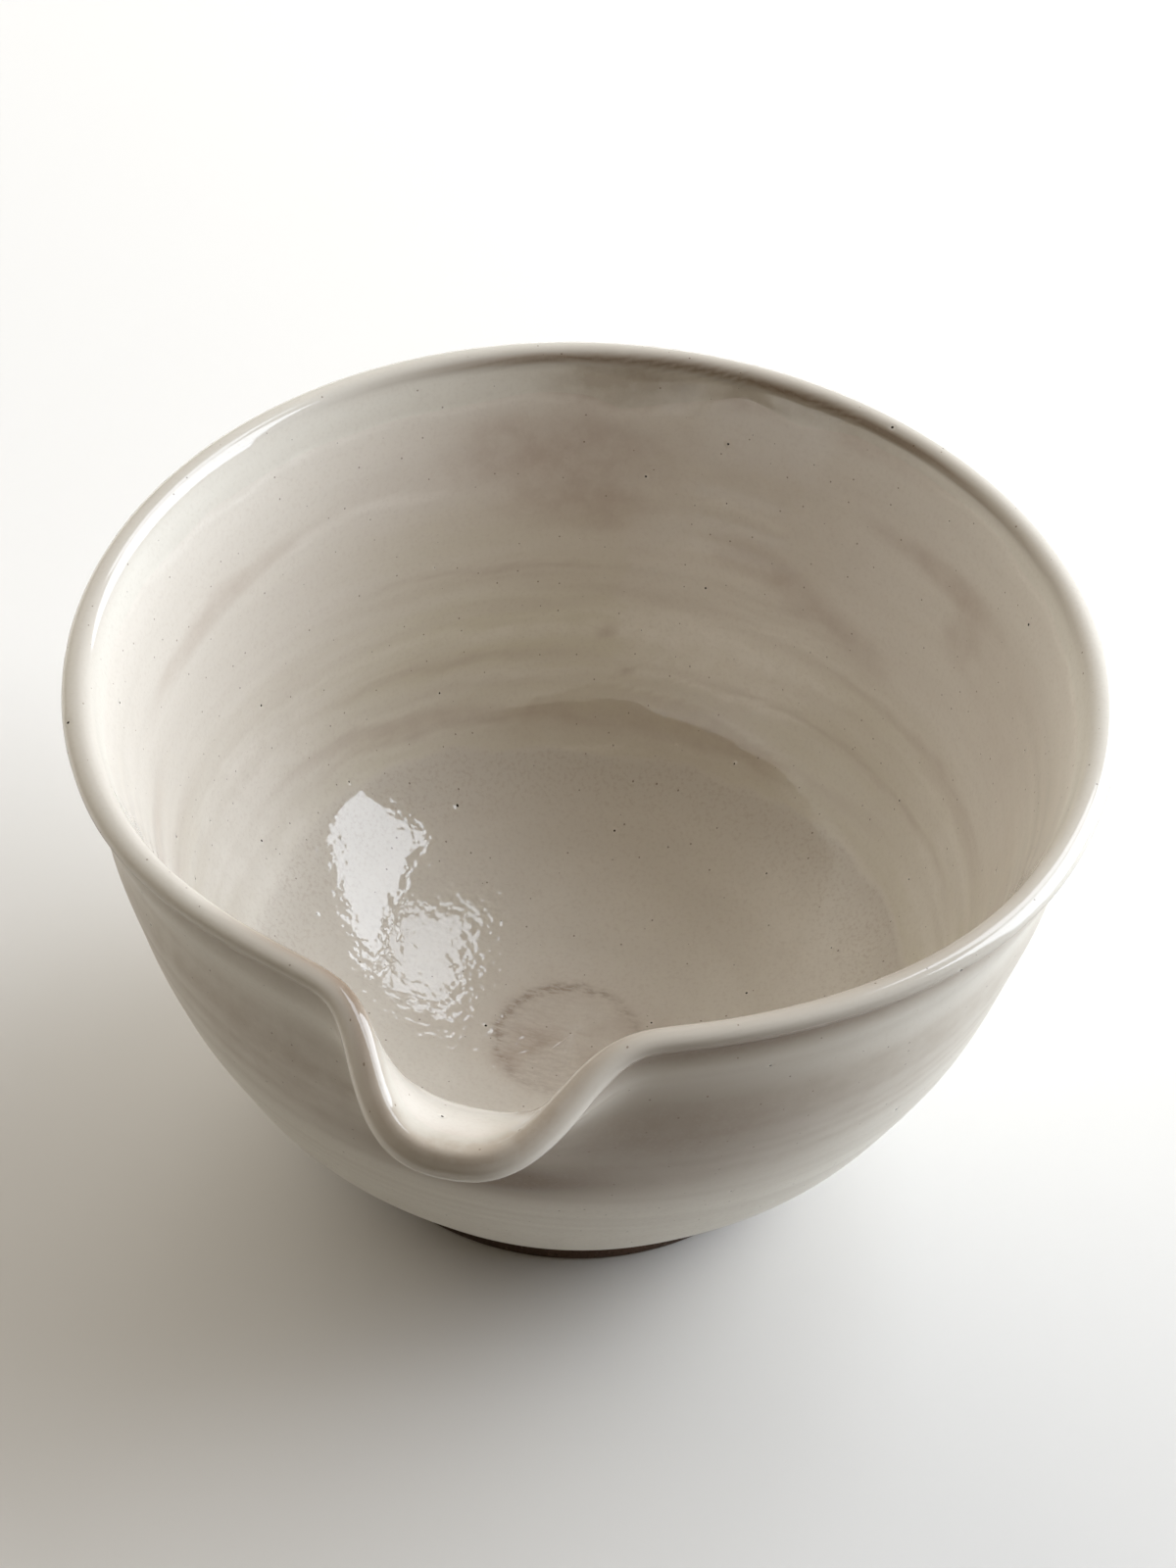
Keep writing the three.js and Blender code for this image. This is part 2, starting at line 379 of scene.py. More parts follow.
def brushed(tree, kind, inputs=None, **settings):
    """One node of a finish, with its inputs as plain values or as outputs of other nodes."""
    node = tree.nodes.new(kind)
    for name, value in settings.items():
        setattr(node, name, value)
    for name, value in (inputs or {}).items():
        if isinstance(value, bpy.types.NodeSocket):
            tree.links.new(value, node.inputs[name])
        else:
            node.inputs[name].default_value = value
    return node


def over(tree, amount, under, top):
    """A colour laid over another, by an amount from 0 to 1."""
    return brushed(tree, "ShaderNodeMix", {0: amount, 6: under, 7: top}, data_type="RGBA").outputs[2]


def ramp(tree, value, low, high, to_low=0.0, to_high=1.0):
    """A value spread from one range to another and kept inside it, with soft ends."""
    inputs = {"Value": value, "From Min": low, "From Max": high, "To Min": to_low, "To Max": to_high}
    return brushed(tree, "ShaderNodeMapRange", inputs, interpolation_type="SMOOTHSTEP").outputs[0]


def sums(tree, operation, first, second):
    """One sum on two values, such as their product."""
    return brushed(tree, "ShaderNodeMath", {0: first, 1: second}, operation=operation).outputs[0]


def noise(tree, place, scale, detail, roughness):
    """Chance cloudiness at a scale."""
    inputs = {"Vector": place, "Scale": scale, "Detail": detail, "Roughness": roughness}
    return brushed(tree, "ShaderNodeTexNoise", inputs).outputs["Fac"]


def new_finish(name):
    """An empty material with its shader."""
    material = bpy.data.materials.new(name)
    material.use_nodes = True
    return material, material.node_tree, material.node_tree.nodes["Principled BSDF"]


# The bare clay's finish. A cloudiness is given by its scale to the metre, detail and roughness.
CLAY_BROWN = fired(70, 54, 43)
CLAY_TOASTED = fired(94, 71, 55)
CLAY_IRON = fired(44, 33, 27)
CLAY_SAND = fired(124, 101, 82)
TOAST = (90, 4, 0.55)
TOAST_SPREAD = (0.35, 0.7)
GRAINS = (2600, 2, 0.55)
IRON_GRAINS = (0.62, 0.72)
SAND_GRAINS = (0.36, 0.26)
CLAY_ROUGHNESS = (0.3, 0.7, 0.78, 0.95)
GRIT = 0.6
GRIT_DEPTH = 0.08


def bare_stoneware():
    """Fired clay without glaze: brown, matt and gritty, toasted in patches, with darker grains of iron."""
    material, tree, shader = new_finish("bare_stoneware")
    place = brushed(tree, "ShaderNodeTexCoord").outputs["Object"]
    toast = ramp(tree, noise(tree, place, *TOAST), *TOAST_SPREAD)
    colour = over(tree, toast, CLAY_BROWN, CLAY_TOASTED)
    grains = noise(tree, place, *GRAINS)
    colour = over(tree, ramp(tree, grains, *IRON_GRAINS), colour, CLAY_IRON)
    colour = over(tree, ramp(tree, grains, *SAND_GRAINS), colour, CLAY_SAND)
    tree.links.new(colour, shader.inputs["Base Color"])
    tree.links.new(ramp(tree, grains, *CLAY_ROUGHNESS), shader.inputs["Roughness"])
    inputs = {"Height": grains, "Strength": GRIT, "Distance": GRIT_DEPTH * MM}
    grit = brushed(tree, "ShaderNodeBump", inputs)
    tree.links.new(grit.outputs[0], shader.inputs["Normal"])
    return material


stoneware = bare_stoneware()
clay = turned_mesh("thrown_clay", clay_rows(), closed=False)
clay.data.materials.append(stoneware)
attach(clay, "root")
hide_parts("clay_bowl")


# The foot ring. The same clay, cut to a low ring with a turning tool when it was leather-hard, so that the
# bowl stands steady. Its edges are broken with a damp sponge, and it is wiped clean of glaze before firing.
FOOT_BEVEL = 0.7
FOOT_BEVEL_STEPS = 6
FOOT_SIDE_STEPS = 7
FOOT_FACETS = 240
FOOT_TOP_GAP = 0.1
FOOT_CHATTER = 0.05
CHATTER_MARKS = (60, 0.7, 31)
CHATTER_START = (0.3, 0.9)
CHATTER_STOP = 0.4


def foot_rows():
    """The ring's section, anticlockwise from its outer edge on the table, with the turning tool's marks."""
    angle = round_wheel(FOOT_FACETS)
    inner = FOOT_RADIUS - FOOT_WIDTH
    top = FOOT_HEIGHT - FOOT_TOP_GAP
    bevel = np.linspace(0, math.pi / 2, FOOT_BEVEL_STEPS)
    side = np.linspace(FOOT_BEVEL, top, FOOT_SIDE_STEPS)
    outline = [(FOOT_RADIUS - FOOT_BEVEL * (1 - math.sin(b)), FOOT_BEVEL * (1 - math.cos(b))) for b in bevel]
    outline += [(FOOT_RADIUS, height) for height in side[1:]]
    outline += [(inner, height) for height in side[::-1]]
    outline += [(inner + FOOT_BEVEL * (1 - math.cos(b)), FOOT_BEVEL * (1 - math.sin(b))) for b in bevel[1:]]
    rows = []
    for radius, height in outline:
        tooled = between(height, CHATTER_START, (top - CHATTER_STOP, top))
        chatter = FOOT_CHATTER * tooled * uneven(np.full_like(angle, height), angle, *CHATTER_MARKS)
        rows.append(on_wheel(radius - np.abs(chatter), height, angle))
    return rows


foot = turned_mesh("turned_foot", foot_rows(), closed=True)
foot.data.materials.append(stoneware)
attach(foot, "root")
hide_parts("foot_ring")


# The poured glaze. A milky glaze was poured into the bowl, swilled round and tipped out of the spout. It
# lies over the throwing rings in thick and thin bands, pools greyer in the well, breaks brown over the
# swirl in the middle, and carries iron specks and pinholes that came up through it in the firing. Its
# finish also carries painted light low on the left wall.
POUR_FACETS = 440
POUR_STEP = 0.58
POUR_BACK_STEP = 4.0
POUR_POLE = 0.6
LAP = 5.5
LAP_COURSE = ((0, 4.5), (40, 5.5), (85, 5.0), (120, 4.2), (156, 3.8), (164, 5.6), (172, 4.2), (182, 6.8),
              (188, 8.8), (192, 7.2), (198, 6.6), (209, 7.1), (245, 6.8), (290, 5.5), (330, 5.0))
LAP_WAVE = 0.35
LAP_WAVES = (61, 1.0, 42)
ORANGE_PEEL = 0.014
PEEL = ((110, 3.1, 51), (230, 1.5, 52), 0.6)
PEEL_OUTSIDE = 0.15
PEEL_START = (2, 6)


def lap_line(angle):
    """Where the two coats meet inside the rim: a wavy line, mm from the rim's crest."""
    return course(angle, LAP_COURSE) + LAP_WAVE * uneven(np.zeros_like(angle), angle, *LAP_WAVES)


def glaze_face(along, angle):
    """The face of the glaze: it follows the clay and swells and dips a little of its own."""
    share = PEEL_OUTSIDE + (1 - PEEL_OUTSIDE) * eased(along, *PEEL_START)
    return thrown(along, angle) + ORANGE_PEEL * layered(along, angle, *PEEL) * share


# Each mark of the pouring: its turn in degrees from the spout, mm from the rim, half its width in degrees,
# half its depth in mm, its slant in mm to the degree, and its strength.
THIN_BLUSHES = (
    (185, 16.0, 46, 17.0, 0.0, 0.22), (196, 14.5, 14, 6.0, 0.0, 0.5), (193, 22.5, 11, 3.4, 0.0, 0.4),
    (137, 14.0, 12, 2.0, 0.0, 0.45), (130, 18.0, 4, 4.2, 0.0, 0.3), (255, 18.5, 19, 2.0, 0.03, 0.35),
    (148, 31.5, 7, 3.0, -0.2, 0.3), (157, 29.0, 6, 3.4, -0.2, 0.3), (165, 26.0, 7, 2.4, -0.1, 0.25),
    (187.5, 41.0, 1.7, 0.9, 0.2, 0.5), (185, 46.5, 1.5, 0.4, 0.0, 0.5), (112, 37.4, 19, 1.5, 0.0, 0.25),
    (188, 5.0, 9, 3.2, 0.0, 0.5), (170, 4.0, 28, 1.8, 0.0, 0.4), (207, 31.0, 19, 0.6, -0.02, 0.25),
    (212, 44.0, 23, 0.8, -0.04, 0.3), (145, 45.5, 36, 0.6, 0.0, 0.25), (227, 50.0, 28, 1.1, -0.06, 0.3),
    (215, 52.5, 26, 0.7, -0.05, 0.3), (115, 20.0, 16, 8.0, 0.0, 0.15))
THICK_STROKES = (
    (170, 20.0, 8, 0.6, 0.0, 0.5), (219, 18.0, 8, 0.8, -0.12, 0.6), (234, 18.6, 10, 0.8, 0.1, 0.5),
    (172, 28.0, 11, 4.5, 0.0, 0.4), (166, 40.0, 18, 7.0, 0.0, 0.75), (168, 46.6, 18, 0.6, 0.0, 0.4),
    (190, 57.0, 11, 0.4, 0.0, 0.4), (120, 66.0, 26, 8.0, 0.0, 0.45), (232, 10.0, 22, 5.0, 0.0, 0.3))

# Where the poured coat is cloudy, runs, pools and was swilled thick, and where light is painted low on the
# left wall. Ramps are in mm from the rim or in degrees from the spout. A patch is its turn and mm from the
# rim, and half its width in degrees and in mm.
RAGGED = 0.6
RAGGED_EDGES = ((40, 2.6, 71), (110, 1.1, 72), 0.6)
SKEWED = math.radians(1.4)
SKEWED_EDGES = ((36, 2.2, 73), (120, 1.0, 74), 0.6)
NEAR_SIDE = (75, 100)
INSIDE = (-1, 1)
CLOUDS = ((7, 13, 75), (15, 5, 76), 0.6)
CLOUD_SPREAD = (0.1, 1.2)
CLOUD_FAR = 0.2
CLOUD_NEAR = 0.3
LAP_BEAD = 0.5
LAP_BEAD_PLACE = 0.5
LAP_BEAD_HALF_WIDTH = 0.4
OCHRE_LOW = 0.6
OCHRE_START = (29, 42)
RUN_OCHRE = 0.5
RUN_SIDES = ((185.2, 186.6), (212, 240))
RUN_ENDS = ((19, 24), (45, 47))
WEDGE_COURSE = ((150, 52.0), (165, 50.4), (178, 49.0), (187, 48.4), (195, 49.8), (206, 52.0))
WEDGE_BLUSH = 0.3
WEDGE_OCHRE = 0.5
WEDGE_SIDES = ((148, 156), (200, 207))
WEDGE_ENDS = ((0, 0.4), (2.5, 6))
FLOW_SAG = 0.035
FLOW_MIDDLE = 170
FLOW_EASE = 25
FLOW_BANDS = ((10, 1.9, 79), (16, 0.9, 80), 0.8)
FLOW_ENDS = ((24, 36), (55, 58))
FLOW_THIN = 0.16
FLOW_THICK = 0.2
OCHRE_TO_FLOOR = (-0.6, 0.4)
POOL_FROM_EDGE = (-0.5, 0.6)
POOL_CLEARS = 0.75
POOL_CLEAR_PLACE = (58, 68)
# Painted light low on the left wall, where the window's light falls: milk laid on, blush and ochre taken
# off.
LIT_LEFT_WALL = (262, 46, 20, 11)
LIT_LEFT_WALL_MILK = 0.9
LIT_LEFT_WALL_OVER = 0.8
SWILLED_RIGHT = (112, 43, 16, 8)
SWILLED_RIGHT_MILK = 0.4


def marks(along, angle, places):
    """Soft patches of a tone, laid one by one."""
    tone = np.zeros_like(along)
    for turn, depth, half_turn, half_depth, slant, strength in places:
        off = np.mod(np.degrees(angle) - turn + 180, 360) - 180
        reach = (off / half_turn) ** 2 + ((along - depth - slant * off) / half_depth) ** 2
        tone += strength * np.exp(-reach ** 2)
    return tone


def patch(along, angle, place):
    """A patch of a tone that dies away gently all round."""
    turn, depth, half_turn, half_depth = place
    off = np.mod(np.degrees(angle) - turn + 180, 360) - 180
    return soft(off, 0, half_turn) * soft(along, depth, half_depth)


def near_side(angle):
    """0 round the back of the bowl and 1 on the side of the spout."""
    return eased(np.abs(np.mod(np.degrees(angle), 360) - 180), *NEAR_SIDE)


def poured_tones(along, angle):
    """How much blush, milk and ochre the poured coat has, and how far it pools. The milk holds painted light
    too.
    """
    down = along + RAGGED * layered(along, angle, *RAGGED_EDGES)
    turn = angle + SKEWED * layered(along, angle, *SKEWED_EDGES)
    degrees = np.mod(np.degrees(turn), 360)
    near = near_side(turn)
    inside = eased(along, *INSIDE)
    clouds = layered(along, angle, *CLOUDS)
    cloudy = CLOUD_FAR + CLOUD_NEAR * near
    blush = (marks(down, turn, THIN_BLUSHES) + eased(clouds, *CLOUD_SPREAD) * cloudy) * inside
    milk = (marks(down, turn, THICK_STROKES) + eased(-clouds, *CLOUD_SPREAD) * cloudy) * inside
    milk += LAP_BEAD * soft(down, lap_line(angle) + LAP_BEAD_PLACE, LAP_BEAD_HALF_WIDTH) * (1 - near)

    ochre = OCHRE_LOW * eased(down, *OCHRE_START)
    ochre += RUN_OCHRE * between(degrees, *RUN_SIDES) * between(down, *RUN_ENDS)
    wedge = between(down - course(turn, WEDGE_COURSE), *WEDGE_ENDS) * between(degrees, *WEDGE_SIDES)
    blush += WEDGE_BLUSH * wedge
    ochre += WEDGE_OCHRE * wedge
    flow = down + FLOW_SAG * np.hypot(degrees - FLOW_MIDDLE, FLOW_EASE)
    bands = layered(flow, angle, *FLOW_BANDS) * between(along, *FLOW_ENDS)
    blush += FLOW_THIN * np.maximum(bands, 0)
    milk += FLOW_THICK * np.maximum(-bands, 0)

    past_edge = down - course(angle, FLOOR_COURSE)
    ochre *= 1 - eased(past_edge, *OCHRE_TO_FLOOR)
    pool = eased(past_edge, *POOL_FROM_EDGE) * (1 - POOL_CLEARS * eased(along, *POOL_CLEAR_PLACE))
    # Painted light low on the left wall.
    lit_left_wall = patch(along, turn, LIT_LEFT_WALL)
    milk += LIT_LEFT_WALL_MILK * lit_left_wall + SWILLED_RIGHT_MILK * patch(along, turn, SWILLED_RIGHT)
    return blush * (1 - LIT_LEFT_WALL_OVER * lit_left_wall), milk, ochre * (1 - LIT_LEFT_WALL_OVER * lit_left_wall), pool


# Where the glaze of the outside and the rim is thin, streaked and worn down to the clay, and where shade and
# light
# are painted on: painted shade in the groove, under the spout's lip and across the front, and painted light
# low on the belly. Places are mm from the rim's crest, below 0 on the outside. A patch is laid as above,
# with its strength after it.
# The bands are partly thin warm glaze and partly painted shade: the one from -3.8 to -5.2 lies in the groove
# under the lip, and the wide one from -13 down to -32 lies on the wall below it, which faces down.
OUTSIDE_BANDS = ((-77, 0.0), (-45, 0.0), (-36, 0.1), (-32, 0.35), (-29, 0.7), (-25, 1.0), (-16, 1.0),
                 (-13, 0.7), (-9.5, 0.25), (-7.5, 0.2), (-6.5, 0.45), (-5.2, 0.9), (-3.8, 0.9), (-2.4, 0.0),
                 (101, 0.0))
BAND_DRIFT = 1.6
BAND_DRIFTS = (5, 16, 77)
BAND_DRIFT_START = (6, 14)
BAND_PLAIN = 0.75
BAND_UNEVEN = 0.4
BAND_PATCHES = (6, 9, 78)
# Painted shade: the bands are weaker round the back, so the front, which gets less light, is darker.
BAND_FAR = 0.55
STREAK_SLANT = 2.8
STREAKS = ((4, 2.6, 81), (7, 1.3, 82), 0.7)
STREAK_BLUSH = 0.24
STREAK_ENDS = ((6, 10), (44, 56))
# Painted shade on the front of the spout's lip, which gets little light: its patch and its strength.
SPOUT_LIP = (3, 2.0, 9, 2.8)
SPOUT_LIP_SHADE = 0.85
# Painted light: the lower belly is lighter where light from the table falls on it.
LOW_BELLY_LIGHT = 0.6
LOW_BELLY_LIGHT_START = (32, 42)
RIM_PLACE = 0.6
RIM_HALF_WIDTH = 1.9
RIM_WEAR = ((0, 0.3), (15, 0.5), (50, 0.5), (75, 0.25), (100, 0.2), (140, 0.35), (180, 0.45), (205, 0.3),
            (230, 0.2), (255, 0.35), (312, 0.3), (324, 0.3), (335, 0.8), (345, 1.0), (353, 0.5))
RIM_BREAK = ((0, 0.0), (100, 0.0), (135, 0.4), (150, 0.8), (200, 0.8), (215, 0.32), (230, 0.0))
RIM_BREAK_PLACE = 1.9
RIM_BREAK_RAGGED = 0.1
RIM_BREAK_HALF_WIDTH = 0.65
# The groove under the lip is darker: partly glaze worn thin, partly painted shade, most to the right of the
# spout.
GROOVE_PLACE = -4.2
GROOVE_HALF_WIDTH = 1.9
GROOVE_WEAR_AND_SHADE = 0.25
GROOVE_RIGHT_WEAR_AND_SHADE = 0.6
GROOVE_RIGHT = 34
GROOVE_RIGHT_HALF_WIDTH = 28
# Painted shade across the front below the lip and a painted shadow just under the spout's lip, partly thin
# brown glaze as well.
OUTSIDE_SHADE_AND_WEAR = (((22, -19, 22, 13), 0.72), ((0, -30, 14, 4.5), 1.0))


def dipped_tones(along, angle):
    """How much blush and milk the dipped coat has, and how far it is worn, with painted shade and light in
    them.
    """
    turn = angle + SKEWED * layered(along, angle, *SKEWED_EDGES)
    drift = BAND_DRIFT * uneven(along, angle, *BAND_DRIFTS) * eased(-along, *BAND_DRIFT_START)
    firing_and_front_shade = BAND_PLAIN + BAND_UNEVEN * uneven(along, angle, *BAND_PATCHES)
    # Painted shade: the bands are full on the front and weaker round the back.
    firing_and_front_shade = firing_and_front_shade * (BAND_FAR + (1 - BAND_FAR) * near_side(turn))
    bands, amounts = zip(*OUTSIDE_BANDS)
    blush = np.interp(along + drift, bands, amounts) * firing_and_front_shade
    streaks = layered(along + STREAK_SLANT * np.sin(angle), angle, *STREAKS)
    blush += STREAK_BLUSH * streaks * between(-along, *STREAK_ENDS)
    # Painted shade on the front of the spout's lip.
    blush += SPOUT_LIP_SHADE * patch(along, angle, SPOUT_LIP)

    wear_and_shade = soft(along, RIM_PLACE, RIM_HALF_WIDTH) * course(angle, RIM_WEAR)
    break_line = RIM_BREAK_PLACE + RIM_BREAK_RAGGED * layered(along, angle, *RAGGED_EDGES)
    wear_and_shade += soft(along, break_line, RIM_BREAK_HALF_WIDTH) * course(angle, RIM_BREAK)
    # The groove under the lip: partly worn glaze, partly painted shade.
    right = soft(np.degrees(angle), GROOVE_RIGHT, GROOVE_RIGHT_HALF_WIDTH)
    groove = soft(along, GROOVE_PLACE, GROOVE_HALF_WIDTH)
    wear_and_shade += groove * (GROOVE_WEAR_AND_SHADE + GROOVE_RIGHT_WEAR_AND_SHADE * right)
    # Painted shade across the front and a painted shadow under the spout's lip, partly thin brown glaze.
    for place, strength in OUTSIDE_SHADE_AND_WEAR:
        wear_and_shade += strength * patch(along, angle, place)
    # The milk amount of the dipped coat is painted light on the lower belly.
    return blush, LOW_BELLY_LIGHT * eased(-along, *LOW_BELLY_LIGHT_START), wear_and_shade


# Where the glaze breaks over the swirl in the well: a ragged ring, darker on one side, and the disc within.
# A shade round the swirl is its mean, how far it varies, and the angle of its darkest place.
SWIRL_RING = 9.2
SWIRL_RING_RAGGED = 0.4
SWIRL_RING_HALF_WIDTH = 0.6
SWIRL_RING_SHADE = (0.2, 0.2, 2.2)
SWIRL_DISC = (9.2, 11.2)
SWIRL_DISC_SHADE = (0.1, 0.06, -2.4)
SWIRL_BLUSH = 0.25
SWIRL_BLUSH_STOP = (7.2, 17.2)


def shade(round_swirl, mean, varies, darkest):
    """A shade that varies once round the swirl."""
    return mean + varies * np.cos(round_swirl - darkest)


def swirl_tones(along, angle):
    """How much blush the glaze has over the swirl, and how far it breaks."""
    radius, round_swirl = swirl_place(along, angle)
    ring_line = SWIRL_RING + SWIRL_RING_RAGGED * layered(along, angle, *RAGGED_EDGES)
    ring = soft(radius, ring_line, SWIRL_RING_HALF_WIDTH) * shade(round_swirl, *SWIRL_RING_SHADE)
    disc = (1 - eased(radius, *SWIRL_DISC)) * shade(round_swirl, *SWIRL_DISC_SHADE)
    blush = SWIRL_BLUSH * (1 - eased(radius, *SWIRL_BLUSH_STOP))
    return blush * (along > 0), (ring + disc) * (along > 0)


# How strongly the face of the glaze ripples: more down the wall, and most in the middle of the well.
# Each step is what it adds, and the mm from the rim over which it comes in.
RIPPLES = ((0.1, (4, 20)), (0.2, (40, 58)), (0.45, (64, 74)))


def fired_tones(along, angle):
    """How the glaze fired and where shade and light are painted: blush, milk and ochre; worn and shaded
    edge, pool and ripple.
    """
    poured_blush, poured_milk, ochre, pool = poured_tones(along, angle)
    dipped_blush, dipped_painted_light, wear_and_shade = dipped_tones(along, angle)
    swirl_blush, broken = swirl_tones(along, angle)
    ripple = sum(amount * eased(along, *start) for amount, start in RIPPLES)
    tone = np.stack([poured_blush + dipped_blush + swirl_blush, poured_milk + dipped_painted_light, ochre], -1)
    lay = np.stack([wear_and_shade + broken, pool, ripple], -1)
    return np.clip(tone, 0, 1), np.clip(lay, 0, 1)


UNROLLED_RADIUS = 58.0
WELL_START = 56
WELL_ASIDE = 500


def lay_flat(piece, along, angle):
    """A flat layout of the skin in mm for its specks: the wall unrolled, and the well as seen from above."""
    mesh = piece.data
    corners = np.empty(len(mesh.loops), np.int32)
    mesh.loops.foreach_get("vertex_index", corners)
    sides = np.empty(len(mesh.polygons), np.int32)
    mesh.polygons.foreach_get("loop_total", sides)
    face = np.repeat(np.arange(len(sides)), sides)
    turn = np.mod(angle[corners], 2 * math.pi)
    last = np.zeros(len(sides), bool)
    np.logical_or.at(last, face, turn > 1.5 * math.pi)
    turn = np.where(last[face] & (turn < math.pi / 2), turn + 2 * math.pi, turn)
    place = np.empty(len(mesh.vertices) * 3, np.float32)
    mesh.vertices.foreach_get("co", place)
    from_above = place.reshape(-1, 3)[corners, :2] / MM
    furthest = np.zeros(len(sides))
    np.maximum.at(furthest, face, along[corners])
    in_well = (furthest > WELL_START)[face]
    u = np.where(in_well, from_above[:, 0], turn * UNROLLED_RADIUS)
    v = np.where(in_well, from_above[:, 1] + WELL_ASIDE, along[corners])
    layer = mesh.uv_layers.new(name="skin")
    layer.data.foreach_set("uv", np.stack([u, v], 1).astype(np.float32).ravel())


def record_skin(piece, along, angle):
    """Keeps on a mesh, for its finish, where each point lies on the wheel, how the glaze fired there and its
    painted shade and light.
    """
    wheel = np.stack([np.cos(angle), np.sin(angle), along], -1)
    tone, lay = fired_tones(along, angle)
    for name, values in (("wheel", wheel), ("tone", tone), ("lay", lay)):
        kept = piece.data.attributes.new(name, "FLOAT_VECTOR", "POINT")
        kept.data.foreach_set("vector", values.astype(np.float32).ravel())
    lay_flat(piece, along, angle)


def coat(name, along, back_along, angle, proud, pole):
    """A closed coat of glaze: its face, its back against the clay, and a pole in the well if it has one."""
    face = skin(along, angle, proud)
    back = skin(back_along, angle, thrown(back_along, angle) - COAT)[::-1]
    rows = list(face)
    places = [along.ravel()]
    turns = [np.broadcast_to(angle, along.shape).ravel()]
    if pole:
        middle = np.array([WELL_END])
        rows += [skin(middle, np.zeros(1), proud[-1].mean()), skin(middle, np.zeros(1), -COAT)]
        places += [middle, middle]
        turns.append(np.zeros(2))
    rows += list(back)
    places.append(back_along[::-1].ravel())
    turns.append(np.broadcast_to(angle, back_along.shape).ravel())
    piece = turned_mesh(name, rows, closed=True)
    record_skin(piece, np.concatenate(places), np.concatenate(turns))
    return piece


def spaced(start, end, length, step):
    """Rows from a wavy start to a wavy end, about a step apart over a length."""
    return start + (end - start) * np.linspace(0, 1, int(length / step))[:, None]


def poured_coat():
    """The poured coat from the lap line down to the middle of the well."""
    angle = round_wheel(POUR_FACETS)[None, :]
    start = lap_line(angle)
    end = WELL_END - POUR_POLE
    along = spaced(start, end, end - LAP, POUR_STEP)
    back_along = spaced(start, end, end - LAP, POUR_BACK_STEP)
    return coat("poured_glaze", along, back_along, angle, glaze_face(along, angle), pole=True)


# The glaze's finish. A cloudiness is given by its scale, detail and roughness, a spread by the range it
# takes and the range it gives, and specks by their spacing in mm, their share and their largest radius.
# A spread of three values takes its last one from the pool or the wisps.
GLAZE_DEEP = fired(205, 197, 185)
GLAZE_OCHRE = fired(208, 201, 182)
GLAZE_POOL = fired(207, 200, 189)
POURED_PLAIN = fired(217, 210, 199)
POURED_MILK = fired(230, 224, 214)
POURED_BLUSH = fired(180, 164, 150)
POURED_WORN = fired(133, 112, 95)
SPECK_BROWN = fired(98, 76, 60)
SPECK_BLACK = fired(44, 34, 30)
RING_STREAKS = (1.0, 6, 0.65)
RING_STREAK_STRETCH = (1.3, 1.3, 0.3)
DEEP_STREAKS = (0.3, 0.7, 0.0, 0.3)
OCHRE_STREAKS = (0.3, 0.7, 0.55, 1.1)
BREAKS = (300, 5, 0.62)
BREAK_SPREAD = (0.3, 0.7, 0.75, 1.2)
WISPS = (1.0, 4, 0.6)
WISP_STRETCH = (700, 1900, 700)
WISP_SPREAD = (0.35, 0.65, 0.35, 1.6)
WISP_POOL = (0.0, 0.3, 1.0)
GLAZE_GRAIN = (1900, 3, 0.6)
GLAZE_GRAIN_SPREAD = (0.45, 0.75, 0.0)
GLAZE_GRAIN_POOL = (0.0, 1.0, 0.16, 0.42)
FINE_SPECKS = (3.2, 0.6, 0.16)
FINE_SPECK_EDGE = (0.0, 0.06, 0.0, 0.65)
BOLD_SPECKS = (11.0, 0.4, 0.2)
BOLD_SPECK_EDGE = (0.0, 0.04)
BOLD_SPECK_LEAST = (0.04, 0.08)
HALO_EDGE = (-0.4, -0.05, 0.0, 0.2)
PINHOLE_EDGE = (-0.5, 0.1)
PINHOLE = -0.5
SATIN_TO_GLOSS = (-5.0, -1.0, 0.42, 0.05)
GLAZE_IOR = 1.55
GLAZE_SWELL = (800, 1, 0.4)
GLAZE_SWELL_DEPTH = 0.12


def specks(tree, place, spacing, share, largest):
    """Round spots scattered over the skin: how many mm a place lies inside a spot, and the spot's radius."""
    inputs = {"Vector": place, "Scale": 1 / spacing, "Randomness": 1.0}
    cells = brushed(tree, "ShaderNodeTexVoronoi", inputs, voronoi_dimensions="2D", feature="F1")
    chance = brushed(tree, "ShaderNodeSeparateColor", {0: cells.outputs["Color"]}).outputs[0]
    size = ramp(tree, chance, 1 - share, 1.0, 0.0, largest)
    reach = sums(tree, "MULTIPLY", cells.outputs["Distance"], spacing)
    return sums(tree, "SUBTRACT", size, reach), size


def stretched(tree, place, scales):
    """A place with its axes stretched."""
    return brushed(tree, "ShaderNodeVectorMath", {0: place, 1: scales}, operation="MULTIPLY").outputs[0]


def kept_on_skin(tree, name):
    """The three values that were kept on the mesh under a name."""
    kept = brushed(tree, "ShaderNodeAttribute", attribute_name=name).outputs["Vector"]
    return kept, brushed(tree, "ShaderNodeSeparateXYZ", {0: kept}).outputs


